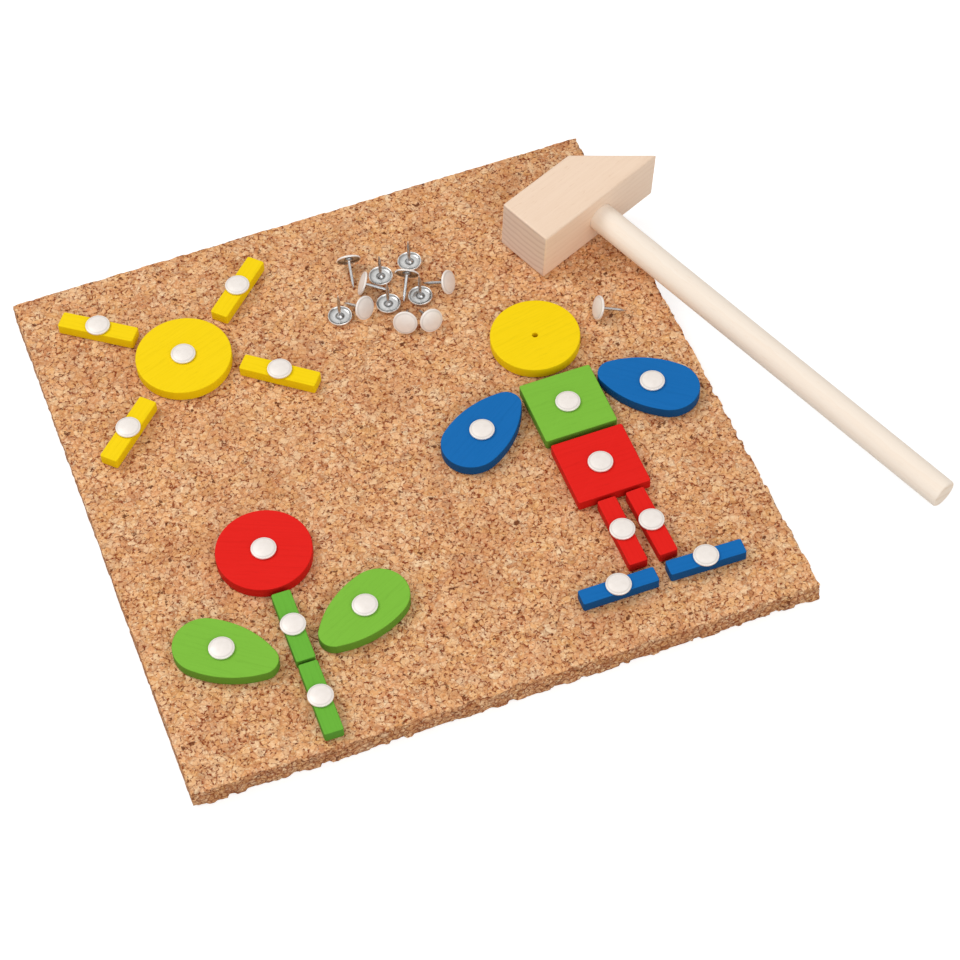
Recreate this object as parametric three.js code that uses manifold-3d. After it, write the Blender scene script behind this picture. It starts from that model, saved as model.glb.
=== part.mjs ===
// Tap-tap hammer game: a cork board, wooden shapes pinned to it with tacks, loose tacks and a hammer.
// Millimetres, +Z up. The origin is the centre of the board's underside, and +Y is the board's back.

import * as THREE from 'three';
import Module from 'manifold-3d';

const wasm = await Module();
wasm.setup();

// Clearances

// Air left between two pieces that lie on each other.
const restGap = 0.3;
// Air round a tack's shank in the cork, and under its tip.
const corkHoleClearance = 0.25;
const corkTipClearance = 0.5;
// Extra width of the drilled hole in a wooden shape over the tack's shank.
const shapeHoleClearance = 1.1;
// Air round the handle in the hammer head's socket.
const socketClearance = 0.15;

// Cork board

const boardWidth = 250;
const boardDepth = 250;
const boardThickness = 10;

// Tacks

const tackHeadDiameter = 10.3;
const tackHeadHeight = 1.5;
const tackRimHeight = 0.45;
const tackRimWidth = 0.7;
const tackSheet = 0.55;
const tackBossDiameter = 3.8;
const tackBossDrop = 0.25;
const tackShankDiameter = 1.3;
const tackShankLength = 12.2;
const tackPointLength = 2;

// Wooden shapes

const shapeThickness = 5;
const sunDiameter = 39;
const bloomDiameter = 37.7;
const figureHeadDiameter = 36.6;
const squareSide = 30.2;
const barLength = 32.6;
const barWidth = 7.7;
const footLength = 31;
const footWidth = 6.9;
const dropLength = 41.8;
const dropBluntRadius = 12.2;
const dropTipRadius = 6.4;
const dropFlankRadius = 40;
// How far a drop's hole lies from mid length, towards its blunt end.
const dropHoleOffset = 1.6;

// Hammer

const hammerHeadLength = 65;
const hammerCrownLength = 38;
const hammerHeadDepth = 25;
const hammerHeadWidth = 25.5;
const handleDiameter = 12;
const handleReach = 187.5;
const handleEndChamfer = 0.8;
const socketDepth = 18;

// Layout on the board: places in mm from its centre, turns in degrees

const sunPlace = { x: -67.6, y: 68.8 };
const sunRays = [
  { name: 'left', bearing: 135.7, turn: 143.1, gap: 3.4 },
  { name: 'top', bearing: 40.1, turn: 43.8, gap: 5.2 },
  { name: 'right', bearing: -33.1, turn: -38.8, gap: 4.5 },
  { name: 'bottom', bearing: 221.5, turn: 224.1, gap: 6.1 },
];

const bloomPlace = { x: -67.2, y: -34.9 };
const bloomToStemGap = 2.2;
const stemToStemGap = 1.3;
const stemLean = -0.5;
const stemTurn = 89;
const leafLeftTurn = -38.2;
const leafRightTurn = 206.1;
const leafLeftGap = 6.8;
const leafRightGap = 4;
const leafLeftDrop = 14.2;
const leafRightDrop = 11.7;

const figureHeadPlace = { x: 67.8, y: 25.4 };
const neckGap = 3.9;
const waistGap = 2.3;
const hipGap = 1.7;
const ankleGap = 3.5;
const chestShift = -0.5;
const hipsShift = 0.8;
const armLeftTurn = 34;
const armRightTurn = 141.2;
const armLeftGap = 2.8;
const armRightGap = 2.4;
const armLeftRise = 12.1;
const armRightRise = 11.3;
const legLeftShift = -4.3;
const legGap = 1.8;
const legLeftTurn = 90.5;
const legRightTurn = 91.7;
const feetGap = 4.9;
const feetShift = 2.6;
const footLeftTurn = -0.3;
const footRightTurn = -1.6;

const hammerPlace = { x: 113.5, y: 68.4 };
const hammerBearing = -66.2;

// A standing tack rests on its crown.
// A lying one rests on its rim and its tip, which points along its turn.
const looseTacks = [
  { x: 34.9, y: 84.6 },
  { x: 21.2, y: 81.6 },
  { x: -1.4, y: 67.6 },
  { x: 19.2, y: 66.4 },
  { x: 32.8, y: 65.4 },
  { x: 10.8, y: 91.2, turn: -100 },
  { x: 12.4, y: 77.2, turn: -22 },
  { x: 30.6, y: 75.2, turn: -118 },
  { x: 8.3, y: 65, turn: 122 },
  { x: 21.4, y: 51.4, turn: 66 },
  { x: 31.4, y: 48.6, turn: 99 },
  { x: 44.6, y: 65, turn: 140 },
  { x: 97.2, y: 29, turn: -9 },
];

// Facets of the round pieces

const discFacets = 40;
const holeFacets = 10;
const tackFacets = 14;
const domeSteps = 3;
const handleFacets = 24;
const dropEndFacets = 12;
const dropFlankFacets = 6;

// Heights

const shapeUnderside = boardThickness + restGap;
const pinnedRimHeight = shapeUnderside + shapeThickness + restGap;
const shapeHoleRadius = (tackShankDiameter + shapeHoleClearance) / 2;

// Finishes

function finish(color, roughness, metalness) {
  return new THREE.MeshStandardMaterial({ color, roughness, metalness });
}

const corkTan = 0xc79a6b;
const stainYellow = 0xf9d603;
const stainRed = 0xe4231a;
const stainGreen = 0x82bb40;
const stainStemGreen = 0x6bb03d;
const stainBlue = 0x1b6bb0;
const nickel = 0xd8d5cf;
const paleBeech = 0xeed6be;
const handleBeech = 0xf0e2cd;

// Geometry helpers

const radians = THREE.MathUtils.degToRad;

function ahead(degrees, distance) {
  const angle = radians(degrees);
  return { x: distance * Math.cos(angle), y: distance * Math.sin(angle) };
}

// Points along an arc, both ends included, from one angle to another in radians.
function arc(centreX, centreY, radius, from, to, facets) {
  const points = [];
  for (let i = 0; i <= facets; i += 1) {
    const angle = from + ((to - from) * i) / facets;
    points.push(new THREE.Vector2(centreX + radius * Math.cos(angle), centreY + radius * Math.sin(angle)));
  }
  return points;
}

function circle(radius, facets) {
  return arc(0, 0, radius, 0, 2 * Math.PI, facets).slice(0, facets);
}

function rectangle(length, width) {
  return [
    new THREE.Vector2(-length / 2, -width / 2),
    new THREE.Vector2(length / 2, -width / 2),
    new THREE.Vector2(length / 2, width / 2),
    new THREE.Vector2(-length / 2, width / 2),
  ];
}

// A drop's outline: two end arcs joined by two flank arcs that run smoothly into them.
// The hole is at the origin and the narrow end points along +X.
function drop() {
  const span = dropLength - dropBluntRadius - dropTipRadius;
  const toBlunt = dropFlankRadius - dropBluntRadius;
  const toTip = dropFlankRadius - dropTipRadius;
  const flankX = (toBlunt ** 2 - toTip ** 2 + span ** 2) / (2 * span);
  const flankY = Math.sqrt(toBlunt ** 2 - flankX ** 2);
  const bluntAngle = Math.atan2(flankY, -flankX);
  const tipAngle = Math.atan2(flankY, span - flankX);
  const bluntX = dropHoleOffset - dropLength / 2 + dropBluntRadius;
  const tipX = bluntX + span;
  const sideX = bluntX + flankX;
  return [
    ...arc(bluntX, 0, dropBluntRadius, bluntAngle, 2 * Math.PI - bluntAngle, dropEndFacets),
    ...arc(sideX, flankY, dropFlankRadius, -bluntAngle, -tipAngle, dropFlankFacets).slice(1),
    ...arc(tipX, 0, dropTipRadius, -tipAngle, tipAngle, dropEndFacets).slice(1),
    ...arc(sideX, -flankY, dropFlankRadius, tipAngle, bluntAngle, dropFlankFacets).slice(1, -1),
  ];
}

function plate(outline, holeRadius) {
  const shape = new THREE.Shape(outline);
  shape.holes.push(new THREE.Path(circle(holeRadius, holeFacets).reverse()));
  return new THREE.ExtrudeGeometry(shape, { depth: shapeThickness, bevelEnabled: false, curveSegments: 1 });
}

function toManifold(geometry) {
  const bare = geometry.index ? geometry.toNonIndexed() : geometry.clone();
  bare.deleteAttribute('normal');
  bare.deleteAttribute('uv');
  const positions = bare.getAttribute('position').array;
  const seen = new Map();
  const vertices = [];
  const triangles = [];
  for (let i = 0; i < positions.length; i += 3) {
    const corner = [positions[i], positions[i + 1], positions[i + 2]];
    const key = corner.map((value) => Math.round(value * 1e4)).join(',');
    if (!seen.has(key)) {
      seen.set(key, vertices.length / 3);
      vertices.push(...corner);
    }
    triangles.push(seen.get(key));
  }
  const kept = [];
  for (let i = 0; i < triangles.length; i += 3) {
    const [a, b, c] = triangles.slice(i, i + 3);
    if (a !== b && b !== c && c !== a) {
      kept.push(a, b, c);
    }
  }
  const mesh = new wasm.Mesh({
    numProp: 3,
    vertProperties: new Float32Array(vertices),
    triVerts: new Uint32Array(kept),
  });
  return new wasm.Manifold(mesh);
}

function toGeometry(solid) {
  const mesh = solid.getMesh();
  const geometry = new THREE.BufferGeometry();
  geometry.setAttribute('position', new THREE.BufferAttribute(new Float32Array(mesh.vertProperties), 3));
  geometry.setIndex(new THREE.BufferAttribute(new Uint32Array(mesh.triVerts), 1));
  geometry.computeVertexNormals();
  return geometry;
}

function uprightCylinder(radius, bottom, top, facets) {
  const geometry = new THREE.CylinderGeometry(radius, radius, top - bottom, facets);
  geometry.rotateX(Math.PI / 2);
  geometry.translate(0, 0, (bottom + top) / 2);
  return geometry;
}

const game = new THREE.Group();
game.name = 'tap_tap_hammer_game';

function addMesh(parent, name, geometry, material) {
  const mesh = new THREE.Mesh(geometry, material);
  mesh.name = name;
  parent.add(mesh);
  return mesh;
}

// Tack: a domed sheet-metal head, hollow below, with a boss that holds the pointed shank.
// Its rim lies at height 0 and its shank points down.

function tackGeometry() {
  const headRadius = tackHeadDiameter / 2;
  const shankRadius = tackShankDiameter / 2;
  const bossRadius = tackBossDiameter / 2;
  const domeRise = tackHeadHeight - tackRimHeight;
  const domeHeight = (radius) => tackRimHeight + domeRise * (1 - (radius / headRadius) ** 2);
  const ceiling = (radius) => domeHeight(radius) - tackSheet;
  const profile = [
    new THREE.Vector2(0, -tackShankLength),
    new THREE.Vector2(shankRadius, -tackShankLength + tackPointLength),
    new THREE.Vector2(shankRadius, tackBossDrop),
    new THREE.Vector2(bossRadius, tackBossDrop),
    new THREE.Vector2(bossRadius, ceiling(bossRadius)),
    new THREE.Vector2(headRadius - tackRimWidth, ceiling(headRadius - tackRimWidth)),
    new THREE.Vector2(headRadius - tackRimWidth, 0),
    new THREE.Vector2(headRadius, 0),
  ];
  for (let step = 0; step <= domeSteps; step += 1) {
    const radius = headRadius * Math.cos((Math.PI / 2) * (step / domeSteps));
    profile.push(new THREE.Vector2(step === domeSteps ? 0 : radius, domeHeight(radius)));
  }
  const geometry = new THREE.LatheGeometry(profile, tackFacets);
  geometry.rotateX(Math.PI / 2);
  return geometry;
}

function addTack(parent, name) {
  return addMesh(parent, name, tackGeometry(), finish(nickel, 0.3, 0.9));
}

// Pinned shapes: each lies on the cork, turns about its tack, and is held by that tack's head.

const pins = [];

function pinShape(name, outline, color, place, turn) {
  const shape = addMesh(game, name, plate(outline, shapeHoleRadius), finish(color, 0.6, 0));
  shape.position.set(place.x, place.y, shapeUnderside);
  shape.rotation.z = radians(turn);
  const tack = addTack(game, `tack_${name}`);
  tack.position.set(place.x, place.y, pinnedRimHeight);
  pins.push(place);
}

function offset(place, dx, dy) {
  return { x: place.x + dx, y: place.y + dy };
}

// A drop that points its narrow end at a given place.
function dropHoleFromTip(tip, turn) {
  const back = ahead(turn, dropLength / 2 + dropHoleOffset);
  return offset(tip, -back.x, -back.y);
}

// Sun

pinShape('sun_disc', circle(sunDiameter / 2, discFacets), stainYellow, sunPlace, 0);
for (const ray of sunRays) {
  const reach = ahead(ray.bearing, sunDiameter / 2 + ray.gap + barLength / 2);
  const place = offset(sunPlace, reach.x, reach.y);
  pinShape(`sun_ray_${ray.name}`, rectangle(barLength, barWidth), stainYellow, place, ray.turn);
}

// Flower

const upperStemPlace = offset(bloomPlace, stemLean, -bloomDiameter / 2 - bloomToStemGap - barLength / 2);
const lowerStemPlace = offset(upperStemPlace, stemLean, -barLength - stemToStemGap);
const leafLeftTip = offset(upperStemPlace, -barWidth / 2 - leafLeftGap, -leafLeftDrop);
const leafRightTip = offset(upperStemPlace, barWidth / 2 + leafRightGap, -leafRightDrop);

pinShape('flower_bloom', circle(bloomDiameter / 2, discFacets), stainRed, bloomPlace, 0);
pinShape('flower_stem_upper', rectangle(barLength, barWidth), stainStemGreen, upperStemPlace, stemTurn);
pinShape('flower_stem_lower', rectangle(barLength, barWidth), stainStemGreen, lowerStemPlace, stemTurn);
pinShape('flower_leaf_left', drop(), stainGreen, dropHoleFromTip(leafLeftTip, leafLeftTurn), leafLeftTurn);
const leafRightPlace = dropHoleFromTip(leafRightTip, leafRightTurn);
pinShape('flower_leaf_right', drop(), stainGreen, leafRightPlace, leafRightTurn);

// Figure

const chestDrop = figureHeadDiameter / 2 + neckGap + squareSide / 2;
const chestPlace = offset(figureHeadPlace, chestShift, -chestDrop);
const hipsPlace = offset(chestPlace, hipsShift, -squareSide - waistGap);
const legDrop = squareSide / 2 + hipGap + barLength / 2;
const legLeftPlace = offset(hipsPlace, legLeftShift, -legDrop);
const legRightPlace = offset(legLeftPlace, Math.max(barWidth, tackHeadDiameter) + legGap, 0);
const feetPlace = offset(hipsPlace, feetShift, -legDrop - barLength / 2 - ankleGap - footWidth / 2);
const footSpread = (feetGap + footLength) / 2;
const armLeftTip = offset(chestPlace, -squareSide / 2 - armLeftGap, armLeftRise);
const armRightTip = offset(chestPlace, squareSide / 2 + armRightGap, armRightRise);

const figureHead = addMesh(
  game,
  'figure_head',
  plate(circle(figureHeadDiameter / 2, discFacets), shapeHoleRadius),
  finish(stainYellow, 0.6, 0),
);
figureHead.position.set(figureHeadPlace.x, figureHeadPlace.y, shapeUnderside);

pinShape('figure_chest', rectangle(squareSide, squareSide), stainGreen, chestPlace, 0);
pinShape('figure_hips', rectangle(squareSide, squareSide), stainRed, hipsPlace, 0);
pinShape('figure_arm_left', drop(), stainBlue, dropHoleFromTip(armLeftTip, armLeftTurn), armLeftTurn);
pinShape('figure_arm_right', drop(), stainBlue, dropHoleFromTip(armRightTip, armRightTurn), armRightTurn);
pinShape('figure_leg_left', rectangle(barLength, barWidth), stainRed, legLeftPlace, legLeftTurn);
pinShape('figure_leg_right', rectangle(barLength, barWidth), stainRed, legRightPlace, legRightTurn);
const footLeftPlace = offset(feetPlace, -footSpread, 0);
const footRightPlace = offset(feetPlace, footSpread, 0);
pinShape('figure_foot_left', rectangle(footLength, footWidth), stainBlue, footLeftPlace, footLeftTurn);
pinShape('figure_foot_right', rectangle(footLength, footWidth), stainBlue, footRightPlace, footRightTurn);

// Cork board with a hole for each pinned tack

function boardGeometry() {
  const block = new THREE.BoxGeometry(boardWidth, boardDepth, boardThickness);
  block.translate(0, 0, boardThickness / 2);
  const holeBottom = pinnedRimHeight - tackShankLength - corkTipClearance;
  const holeRadius = tackShankDiameter / 2 + corkHoleClearance;
  let board = toManifold(block);
  for (const pin of pins) {
    const hole = uprightCylinder(holeRadius, holeBottom, boardThickness + restGap, holeFacets);
    hole.translate(pin.x, pin.y, 0);
    board = board.subtract(toManifold(hole));
  }
  return toGeometry(board);
}

addMesh(game, 'cork_board', boardGeometry(), finish(corkTan, 0.95, 0));

// Loose tacks

const lyingTilt = Math.atan2(tackHeadDiameter / 2, tackShankLength);
const lyingRimHeight = boardThickness + restGap + (tackHeadDiameter / 2) * Math.cos(lyingTilt);
const standingRimHeight = boardThickness + restGap + tackHeadHeight;

looseTacks.forEach((place, index) => {
  const stand = new THREE.Group();
  const tack = addTack(stand, `loose_tack_${String(index + 1).padStart(2, '0')}`);
  if (place.turn === undefined) {
    tack.rotation.x = Math.PI;
    stand.position.set(place.x, place.y, standingRimHeight);
  } else {
    tack.rotation.y = lyingTilt - Math.PI / 2;
    stand.rotation.z = radians(place.turn);
    stand.position.set(place.x, place.y, lyingRimHeight);
  }
  game.add(stand);
});

// Hammer: its head's edge rests on the cork and its handle's end on the table.
// The handle runs along +X from the head's face, the head lies along Y and its width along Z.

const hammer = new THREE.Group();
const handleRadius = handleDiameter / 2;
const edgeBelowHandle = hammerHeadWidth / 2 - handleRadius;
const hammerSlope = Math.atan2(edgeBelowHandle, handleReach)
  + Math.asin(boardThickness / Math.hypot(edgeBelowHandle, handleReach));

function hammerHeadGeometry() {
  const pollY = -hammerHeadLength / 2;
  const outline = new THREE.Shape([
    new THREE.Vector2(0, pollY),
    new THREE.Vector2(0, pollY + hammerHeadLength),
    new THREE.Vector2(-hammerHeadDepth, pollY + hammerCrownLength),
    new THREE.Vector2(-hammerHeadDepth, pollY),
  ]);
  const block = new THREE.ExtrudeGeometry(outline, { depth: hammerHeadWidth, bevelEnabled: false });
  block.translate(0, 0, -hammerHeadWidth / 2);
  const socketRadius = handleRadius + socketClearance;
  const socket = uprightCylinder(socketRadius, -socketDepth - restGap, restGap, handleFacets);
  socket.rotateY(Math.PI / 2);
  return toGeometry(toManifold(block).subtract(toManifold(socket)));
}

function handleGeometry() {
  const profile = [
    new THREE.Vector2(0, -socketDepth),
    new THREE.Vector2(handleRadius, -socketDepth),
    new THREE.Vector2(handleRadius, handleReach - handleEndChamfer),
    new THREE.Vector2(handleRadius - handleEndChamfer, handleReach),
    new THREE.Vector2(0, handleReach),
  ];
  const geometry = new THREE.LatheGeometry(profile, handleFacets);
  geometry.rotateZ(-Math.PI / 2);
  return geometry;
}

addMesh(hammer, 'hammer_head', hammerHeadGeometry(), finish(paleBeech, 0.65, 0));
addMesh(hammer, 'hammer_handle', handleGeometry(), finish(handleBeech, 0.5, 0));
hammer.rotation.order = 'ZYX';
hammer.rotation.z = radians(hammerBearing);
hammer.rotation.y = hammerSlope;
hammer.position.set(
  hammerPlace.x,
  hammerPlace.y,
  boardThickness + restGap + (hammerHeadWidth / 2) * Math.cos(hammerSlope),
);
game.add(hammer);

export default game;
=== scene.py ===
import math
import random

import bmesh
import bpy
import numpy as np
from mathutils import Matrix, Vector


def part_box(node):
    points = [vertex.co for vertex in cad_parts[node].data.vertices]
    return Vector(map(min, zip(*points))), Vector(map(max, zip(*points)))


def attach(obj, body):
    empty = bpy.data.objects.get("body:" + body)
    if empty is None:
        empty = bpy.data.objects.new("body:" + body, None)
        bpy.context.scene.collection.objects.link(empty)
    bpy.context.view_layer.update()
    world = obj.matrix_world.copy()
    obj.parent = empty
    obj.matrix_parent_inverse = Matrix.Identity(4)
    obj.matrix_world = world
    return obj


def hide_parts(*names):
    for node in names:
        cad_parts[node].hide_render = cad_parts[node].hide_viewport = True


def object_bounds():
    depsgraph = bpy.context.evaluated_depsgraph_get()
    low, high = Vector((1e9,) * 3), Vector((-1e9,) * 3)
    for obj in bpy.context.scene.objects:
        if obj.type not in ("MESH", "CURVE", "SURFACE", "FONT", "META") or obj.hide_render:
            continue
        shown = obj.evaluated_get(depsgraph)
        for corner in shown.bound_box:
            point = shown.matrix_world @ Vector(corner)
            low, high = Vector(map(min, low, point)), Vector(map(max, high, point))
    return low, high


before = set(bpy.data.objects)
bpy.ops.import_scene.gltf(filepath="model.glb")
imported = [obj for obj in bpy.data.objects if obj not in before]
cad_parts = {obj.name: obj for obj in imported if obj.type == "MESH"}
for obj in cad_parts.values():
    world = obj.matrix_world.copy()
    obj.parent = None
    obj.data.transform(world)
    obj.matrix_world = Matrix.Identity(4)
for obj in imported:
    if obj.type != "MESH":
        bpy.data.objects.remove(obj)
cad_low, cad_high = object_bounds()

SHAPES = {
    "sun_disc": "yellow_stain",
    "sun_ray_left": "yellow_stain",
    "sun_ray_top": "yellow_stain",
    "sun_ray_right": "yellow_stain",
    "sun_ray_bottom": "yellow_stain",
    "flower_bloom": "red_stain",
    "flower_stem_upper": "stem_green_stain",
    "flower_stem_lower": "stem_green_stain",
    "flower_leaf_left": "green_stain",
    "flower_leaf_right": "green_stain",
    "figure_head": "yellow_stain",
    "figure_chest": "green_stain",
    "figure_hips": "red_stain",
    "figure_arm_left": "blue_stain",
    "figure_arm_right": "blue_stain",
    "figure_leg_left": "red_stain",
    "figure_leg_right": "red_stain",
    "figure_foot_left": "blue_stain",
    "figure_foot_right": "blue_stain",
}
SQUARES = ("figure_chest", "figure_hips")
UNPINNED = "figure_head"
# bearing of the grain across each disc, in degrees
DISC_GRAIN = {"sun_disc": 20.0, "flower_bloom": -25.0, "figure_head": 10.0}

# each stain on a broad face, and the share of it that a sawn side keeps as painted shade
STAINS = {
    "yellow_stain": ((250, 214, 2), 0.86),
    "red_stain": ((229, 28, 20), 0.68),
    "green_stain": ((126, 188, 60), 0.52),
    "stem_green_stain": ((106, 178, 56), 0.56),
    "blue_stain": ((14, 106, 178), 0.42),
}

# tacks, in metres
TACK_SIDES = 40
TACK_HEAD_HEIGHT = 0.0015
CROWN_WALL = 0.0005
CROWN_EDGE = 0.0004
TACK_SHANK_RADIUS = 0.00065
# share of the shank's radius and height above the tip
TACK_POINT = ((0.35, 0.0009), (0.75, 0.0022), (1.0, 0.0032))
# share of the shank's radius and height from the rim
TACK_NECK = ((1.0, -0.0007), (1.3, -0.0003), (2.4, 0.0001), (2.688, 0.0006))
# share of the head's radius and height from the rim
TACK_HOLLOW = ((0.62, 0.0009), (0.82, 0.0007))
# the rolled rim: share of its width in from the edge, and height
RIM_WIDTH = 0.0005
RIM_ROLL = ((1.0, 0.0003), (0.7, 0.0001), (0.35, 0.0), (0.1, 0.0001), (0.0, 0.0003))
CROWN_EDGE_STEPS = 5
CROWN_DOME = (0.92, 0.8, 0.6, 0.4, 0.2, 0.0)
TACK_CREASE = 50
TACK_SPIN_SEED = 11
PIN_HOLE_ROOM = 0.0003
PIN_HOLE_SIDES = 16
# profile rings of bare metal, from the tip to the inside of the rim
UNDERSIDE_RINGS = len(TACK_POINT + TACK_NECK + TACK_HOLLOW + RIM_ROLL) - 1

# wooden shapes
OUTLINE_POINTS = 112
EDGE_ROUNDING = 0.0005
# where the flat face starts, in edge roundings from the outline
FACE_INSET = 1.1
EDGE_STEPS = 4
CORNER_ROUNDING = 0.001
CORNER_STEPS = 6
SIDE_STEPS = 12
HOLE_RIM = 0.00025
# the loop of points round the hole on the face, in hole radii
HOLE_APRON = 2
HOLE_REACH = 0.002
SHAPE_CREASE = 40
FLAT_FACE = 0.999
# shares of a stain in the dark and the light streaks of its grain
DARK_GRAIN = 0.62
LIGHT_GRAIN = 1.06

# hammer
HANDLE_ROUNDING = 0.0009
HANDLE_SIDES = 64
HANDLE_RINGS = 24
HANDLE_END_STEPS = 6
# the inner ring of the end, as a share of the radius
HANDLE_END_FLAT = 0.4
HANDLE_CREASE = 45
HEAD_ROUNDING = 0.0009
HEAD_ROUNDING_STEPS = 4
# the head's broad faces lie beyond this share of its half height
HEAD_FACE_SHARE = 0.9
HEAD_FLAT_DEGREES = 2
SOCKET_CLEARANCE = 0.00015

# cork board: its mesh, its grain, and how far its relief sinks or stands out
CORK_STEP = 0.001
CORK_ROWS = 11
TORN_PROUD = 0.0008
GRANULE = 0.0033
CRUMB = 0.0023
CHUNK = 0.0046
FINE_CHUNK = 0.0022
GRANULE_SEED, CHUNK_SEED, FINE_SEED = 3, 7, 9
GRANULE_SINK = 0.00012
CREASE_SINK = 0.00016
CREASE_WIDTH = 0.28
PIT_SINK = 0.0003
PIT_FROM = 0.9
PIT_SLOPE = 0.5
BASE_RELIEF = 0.4
CRUMBLE_REACH = 0.004
SIDE_REACH = 0.006
ARRIS_DROP = 0.0004
ARRIS_POWER = 8
CUT_ARRIS = 0.5
CORK_CREASE = 60
# how deep fine grains, chunks and broken edges are missing from the sides,
# and the random number above which a chunk is gone
TORN_FINE = 0.0005
TORN_CHUNK = 0.0006
TORN_EDGE = 0.0007
TORN_FROM = 0.6
CUT_FINE = 0.00022
CUT_CHUNK = 0.00025
CUT_FROM = 0.7

# heights or radii closer than this, in metres, are the same
NEAR = 1e-5

# large odd numbers that scatter whole numbers
HASH_X, HASH_Y, HASH_Z, HASH_SEED = 73856093, 19349663, 83492791, 2654435761
HASH_SALTS = (0x9E3779B1, 0x85EBCA77, 0xC2B2AE3D)
HASH_MIX, HASH_MIX_AGAIN = 0x2C1B3C6D, 0x297A2D39
HASH_WORD = 0xFFFFFFFF
# farther than any granule's middle, in cells
CELLS_AWAY = 9.0

# stage and light
WHITE = (1, 1, 1, 1)
FLOOR_COLOUR = (0.58, 0.58, 0.58, 1)
FLOOR_GLOW = 0.66
FLOOR_SIZE = 8.0
FLOOR_DROP = 0.0003
WORLD_LIGHT = 0.58
# each lamp's place, the width of its disc and its power in watts
LAMPS = {
    "key": ((-0.75, 0.55, 1.25), 0.8, 8.2),
    "fill": ((0.2, -1.2, 0.85), 1.2, 7.0),
}

# camera: degrees, metres from the middle of the board's top, and pixels of the photo
VIEW_BEARING = -18.2
VIEW_RISE = 53.36
VIEW_ROLL = -2.95
VIEW_DISTANCE = 1.1508
VIEW_ASIDE = 0.03215
VIEW_UP = -0.01635
FOCAL_PIXELS = 2906
IMAGE_PIXELS = 960
SENSOR_MM = 36.0


# colours and node helpers
def linear(srgb):
    """An sRGB colour of 0 to 255 as a linear colour with alpha."""
    out = []
    for value in srgb:
        part = value / 255
        out.append(part / 12.92 if part <= 0.04045 else ((part + 0.055) / 1.055) ** 2.4)
    return (*out, 1.0)


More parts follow.
